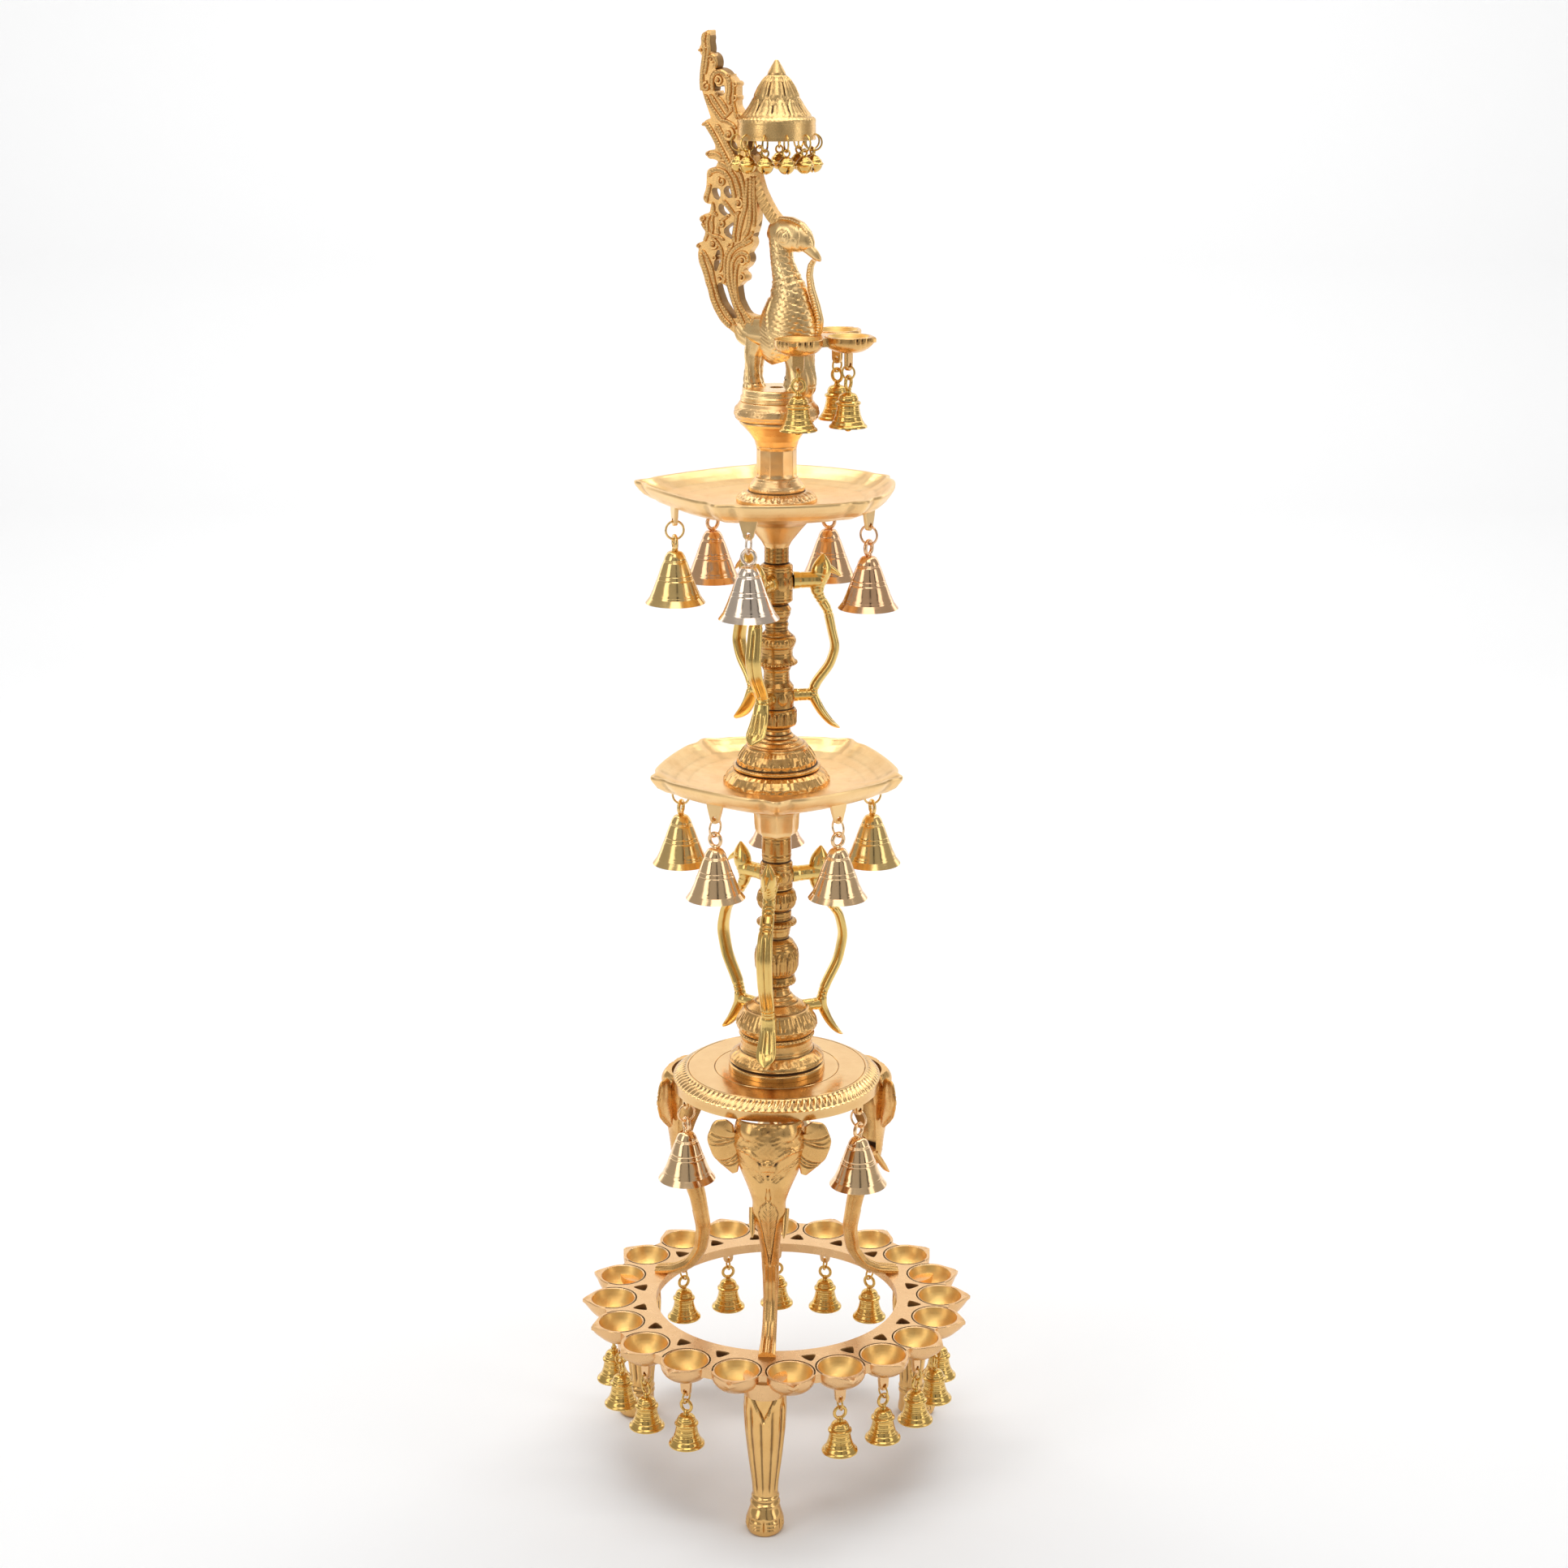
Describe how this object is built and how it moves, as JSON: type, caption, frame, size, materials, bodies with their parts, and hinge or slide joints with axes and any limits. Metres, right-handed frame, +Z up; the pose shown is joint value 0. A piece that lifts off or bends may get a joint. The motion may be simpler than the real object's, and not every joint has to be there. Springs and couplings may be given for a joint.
{
  "type": "standing oil lamp",
  "caption": "Tall brass standing oil lamp: paw-footed ring of lamps, elephant heads, bird brackets, two dishes with hanging bells, peacock and parasol on top.",
  "frame": {"origin": "on the column's axis, at the level of the three soles", "axes": "+Z up along the column, -Y towards the front paw leg"},
  "size_m": [0.3209, 0.3205, 1.15],
  "materials": {
    "cast_brass": "cast and chased, polished high spots over brown recesses",
    "spun_brass": "polished smooth",
    "bell_brass": "lathe-turned and polished",
    "rod_steel": "plain threaded rod"
  },
  "bodies": {
    "stand": {"paw_legs": "cast_brass", "diya_ring": "spun_brass", "elephant_bracket_front": "cast_brass", "elephant_bracket_right": "cast_brass", "elephant_bracket_left": "cast_brass", "stand_disc": "spun_brass", "lower_pedestal": "cast_brass", "lower_pillar": "cast_brass", "lower_bird_brackets": "cast_brass", "middle_tray": "spun_brass", "upper_pedestal": "cast_brass", "upper_pillar": "cast_brass", "upper_bird_brackets": "cast_brass", "top_tray": "spun_brass", "finial_stem": "cast_brass", "peacock": "cast_brass", "peacock_tail": "cast_brass", "parasol": "cast_brass", "diya_cluster": "cast_brass", "tie_rod": "rod_steel"},
    "ring_bell_01": {"ring_bell_01": "bell_brass"},
    "ring_bell_02": {"ring_bell_02": "bell_brass"},
    "ring_bell_03": {"ring_bell_03": "bell_brass"},
    "ring_bell_04": {"ring_bell_04": "bell_brass"},
    "ring_bell_05": {"ring_bell_05": "bell_brass"},
    "ring_bell_06": {"ring_bell_06": "bell_brass"},
    "ring_bell_07": {"ring_bell_07": "bell_brass"},
    "ring_bell_08": {"ring_bell_08": "bell_brass"},
    "ring_bell_09": {"ring_bell_09": "bell_brass"},
    "ring_bell_10": {"ring_bell_10": "bell_brass"},
    "ring_bell_11": {"ring_bell_11": "bell_brass"},
    "ring_bell_12": {"ring_bell_12": "bell_brass"},
    "ring_bell_13": {"ring_bell_13": "bell_brass"},
    "ring_bell_14": {"ring_bell_14": "bell_brass"},
    "middle_bell_1": {"middle_bell_1": "bell_brass"},
    "middle_bell_2": {"middle_bell_2": "bell_brass"},
    "middle_bell_3": {"middle_bell_3": "bell_brass"},
    "middle_bell_4": {"middle_bell_4": "bell_brass"},
    "middle_bell_5": {"middle_bell_5": "bell_brass"},
    "top_bell_1": {"top_bell_1": "bell_brass"},
    "top_bell_2": {"top_bell_2": "bell_brass"},
    "top_bell_3": {"top_bell_3": "bell_brass"},
    "top_bell_4": {"top_bell_4": "bell_brass"},
    "top_bell_5": {"top_bell_5": "bell_brass"},
    "disc_bell_1": {"disc_bell_1": "bell_brass"},
    "disc_bell_2": {"disc_bell_2": "bell_brass"},
    "disc_bell_3": {"disc_bell_3": "bell_brass"},
    "cluster_bell_1": {"cluster_bell_1": "bell_brass"},
    "cluster_bell_2": {"cluster_bell_2": "bell_brass"},
    "cluster_bell_3": {"cluster_bell_3": "bell_brass"},
    "ghungroo_01": {"ghungroo_01": "bell_brass"},
    "ghungroo_02": {"ghungroo_02": "bell_brass"},
    "ghungroo_03": {"ghungroo_03": "bell_brass"},
    "ghungroo_04": {"ghungroo_04": "bell_brass"},
    "ghungroo_05": {"ghungroo_05": "bell_brass"},
    "ghungroo_06": {"ghungroo_06": "bell_brass"},
    "ghungroo_07": {"ghungroo_07": "bell_brass"},
    "ghungroo_08": {"ghungroo_08": "bell_brass"},
    "ghungroo_09": {"ghungroo_09": "bell_brass"},
    "ghungroo_10": {"ghungroo_10": "bell_brass"}
  },
  "joints": [
    {"name": "ring_bell_01_swing", "type": "hinge", "parent": "stand", "child": "ring_bell_01", "pos_m": [0.04995, -0.12542, 0.111], "axis": [0.37, -0.929, 0], "range_deg": [-11, 11]},
    {"name": "ring_bell_02_swing", "type": "hinge", "parent": "stand", "child": "ring_bell_02", "pos_m": [0.0847, -0.10513, 0.111], "axis": [0.6274, -0.7787, 0], "range_deg": [-11, 11]},
    {"name": "ring_bell_03_swing", "type": "hinge", "parent": "stand", "child": "ring_bell_03", "pos_m": [0.11192, -0.07549, 0.111], "axis": [0.829, -0.5592, 0], "range_deg": [-11, 11]},
    {"name": "ring_bell_04_swing", "type": "hinge", "parent": "stand", "child": "ring_bell_04", "pos_m": [0.1292, -0.03915, 0.111], "axis": [0.957, -0.29, 0], "range_deg": [-11, 11]},
    {"name": "ring_bell_05_swing", "type": "hinge", "parent": "stand", "child": "ring_bell_05", "pos_m": [0.135, 0.00067, 0.111], "axis": [1, 0.005, 0], "range_deg": [-11, 11]},
    {"name": "ring_bell_06_swing", "type": "hinge", "parent": "stand", "child": "ring_bell_06", "pos_m": [0.08044, 0.10842, 0.111], "axis": [0.5958, 0.8031, 0], "range_deg": [-11, 11]},
    {"name": "ring_bell_07_swing", "type": "hinge", "parent": "stand", "child": "ring_bell_07", "pos_m": [0.04236, 0.12818, 0.111], "axis": [0.3138, 0.9495, 0], "range_deg": [-11, 11]},
    {"name": "ring_bell_08_swing", "type": "hinge", "parent": "stand", "child": "ring_bell_08", "pos_m": [0, 0.135, 0.111], "axis": [0, 1, 0], "range_deg": [-11, 11]},
    {"name": "ring_bell_09_swing", "type": "hinge", "parent": "stand", "child": "ring_bell_09", "pos_m": [-0.04236, 0.12818, 0.111], "axis": [-0.3138, 0.9495, 0], "range_deg": [-11, 11]},
    {"name": "ring_bell_10_swing", "type": "hinge", "parent": "stand", "child": "ring_bell_10", "pos_m": [-0.08044, 0.10842, 0.111], "axis": [-0.5958, 0.8031, 0], "range_deg": [-11, 11]},
    {"name": "ring_bell_11_swing", "type": "hinge", "parent": "stand", "child": "ring_bell_11", "pos_m": [-0.13492, -0.00471, 0.111], "axis": [-0.9994, -0.0349, 0], "range_deg": [-11, 11]},
    {"name": "ring_bell_12_swing", "type": "hinge", "parent": "stand", "child": "ring_bell_12", "pos_m": [-0.12631, -0.04765, 0.111], "axis": [-0.9356, -0.3529, 0], "range_deg": [-11, 11]},
    {"name": "ring_bell_13_swing", "type": "hinge", "parent": "stand", "child": "ring_bell_13", "pos_m": [-0.10442, -0.08557, 0.111], "axis": [-0.7735, -0.6338, 0], "range_deg": [-11, 11]},
    {"name": "ring_bell_14_swing", "type": "hinge", "parent": "stand", "child": "ring_bell_14", "pos_m": [-0.07154, -0.11449, 0.111], "axis": [-0.5299, -0.848, 0], "range_deg": [-11, 11]},
    {"name": "middle_bell_1_swing", "type": "hinge", "parent": "stand", "child": "middle_bell_1", "pos_m": [0.04702, -0.06472, 0.5685], "axis": [0.5878, -0.809, 0], "range_deg": [-25, 25]},
    {"name": "middle_bell_2_swing", "type": "hinge", "parent": "stand", "child": "middle_bell_2", "pos_m": [0.07608, 0.02472, 0.5685], "axis": [0.9511, 0.309, 0], "range_deg": [-25, 25]},
    {"name": "middle_bell_3_swing", "type": "hinge", "parent": "stand", "child": "middle_bell_3", "pos_m": [0, 0.08, 0.5685], "axis": [0, 1, 0], "range_deg": [-25, 25]},
    {"name": "middle_bell_4_swing", "type": "hinge", "parent": "stand", "child": "middle_bell_4", "pos_m": [-0.07608, 0.02472, 0.5685], "axis": [-0.9511, 0.309, 0], "range_deg": [-25, 25]},
    {"name": "middle_bell_5_swing", "type": "hinge", "parent": "stand", "child": "middle_bell_5", "pos_m": [-0.04702, -0.06472, 0.5685], "axis": [-0.5878, -0.809, 0], "range_deg": [-25, 25]},
    {"name": "top_bell_1_swing", "type": "hinge", "parent": "stand", "child": "top_bell_1", "pos_m": [-0.02071, -0.07727, 0.791], "axis": [-0.2588, -0.9659, 0], "range_deg": [-25, 25]},
    {"name": "top_bell_2_swing", "type": "hinge", "parent": "stand", "child": "top_bell_2", "pos_m": [0.06928, -0.04, 0.791], "axis": [0.866, -0.5, 0], "range_deg": [-25, 25]},
    {"name": "top_bell_3_swing", "type": "hinge", "parent": "stand", "child": "top_bell_3", "pos_m": [0.0412, 0.06857, 0.791], "axis": [0.515, 0.8572, 0], "range_deg": [-25, 25]},
    {"name": "top_bell_4_swing", "type": "hinge", "parent": "stand", "child": "top_bell_4", "pos_m": [-0.05035, 0.06217, 0.791], "axis": [-0.6293, 0.7771, 0], "range_deg": [-25, 25]},
    {"name": "top_bell_5_swing", "type": "hinge", "parent": "stand", "child": "top_bell_5", "pos_m": [-0.07727, -0.02071, 0.791], "axis": [-0.9659, -0.2588, 0], "range_deg": [-25, 25]},
    {"name": "disc_bell_1_swing", "type": "hinge", "parent": "stand", "child": "disc_bell_1", "pos_m": [0.06512, -0.0456, 0.3215], "axis": [0.8192, -0.5736, 0], "range_deg": [-25, 25]},
    {"name": "disc_bell_2_swing", "type": "hinge", "parent": "stand", "child": "disc_bell_2", "pos_m": [0.00693, 0.0792, 0.3215], "axis": [0.0872, 0.9962, 0], "range_deg": [-25, 25]},
    {"name": "disc_bell_3_swing", "type": "hinge", "parent": "stand", "child": "disc_bell_3", "pos_m": [-0.07205, -0.0336, 0.3215], "axis": [-0.9063, -0.4226, 0], "range_deg": [-25, 25]},
    {"name": "cluster_bell_1_swing", "type": "hinge", "parent": "stand", "child": "cluster_bell_1", "pos_m": [0.0161, -0.04506, 0.9094], "axis": [-0.2079, -0.9781, 0], "range_deg": [-1, 12]},
    {"name": "cluster_bell_2_swing", "type": "hinge", "parent": "stand", "child": "cluster_bell_2", "pos_m": [0.05346, -0.02724, 0.9094], "axis": [0.891, -0.454, 0], "range_deg": [-12, 12]},
    {"name": "cluster_bell_3_swing", "type": "hinge", "parent": "stand", "child": "cluster_bell_3", "pos_m": [0.04592, 0.01346, 0.9094], "axis": [0.6691, 0.7431, 0], "range_deg": [-12, 1]},
    {"name": "ghungroo_01_swing", "type": "hinge", "parent": "stand", "child": "ghungroo_01", "pos_m": [-0.02763, -0.00388, 1.0702], "axis": [0.1392, -0.9903, 0], "range_deg": [-25, 5]},
    {"name": "ghungroo_02_swing", "type": "hinge", "parent": "stand", "child": "ghungroo_02", "pos_m": [-0.0213, -0.01802, 1.0702], "axis": [0.6458, -0.7635, 0], "range_deg": [-25, 5]},
    {"name": "ghungroo_03_swing", "type": "hinge", "parent": "stand", "child": "ghungroo_03", "pos_m": [-0.00842, -0.0266, 1.0702], "axis": [0.9534, -0.3016, 0], "range_deg": [-25, 5]},
    {"name": "ghungroo_04_swing", "type": "hinge", "parent": "stand", "child": "ghungroo_04", "pos_m": [0.00706, -0.02699, 1.0702], "axis": [0.9674, 0.2532, 0], "range_deg": [-25, 5]},
    {"name": "ghungroo_05_swing", "type": "hinge", "parent": "stand", "child": "ghungroo_05", "pos_m": [0.02037, -0.01907, 1.0702], "axis": [0.6834, 0.73, 0], "range_deg": [-25, 5]},
    {"name": "ghungroo_06_swing", "type": "hinge", "parent": "stand", "child": "ghungroo_06", "pos_m": [0.0274, -0.00527, 1.0702], "axis": [0.1889, 0.982, 0], "range_deg": [-25, 5]},
    {"name": "ghungroo_07_swing", "type": "hinge", "parent": "stand", "child": "ghungroo_07", "pos_m": [0.02599, 0.01015, 1.0702], "axis": [-0.3638, 0.9315, 0], "range_deg": [-25, 5]},
    {"name": "ghungroo_08_swing", "type": "hinge", "parent": "stand", "child": "ghungroo_08", "pos_m": [0.01657, 0.02244, 1.0702], "axis": [-0.8044, 0.594, 0], "range_deg": [-25, 5]},
    {"name": "ghungroo_09_swing", "type": "hinge", "parent": "stand", "child": "ghungroo_09", "pos_m": [0.00205, 0.02782, 1.0702], "axis": [-0.9973, 0.0736, 0], "range_deg": [-25, 5]},
    {"name": "ghungroo_10_swing", "type": "hinge", "parent": "stand", "child": "ghungroo_10", "pos_m": [-0.0131, 0.02463, 1.0702], "axis": [-0.8829, -0.4695, 0], "range_deg": [-25, 5]}
  ]
}
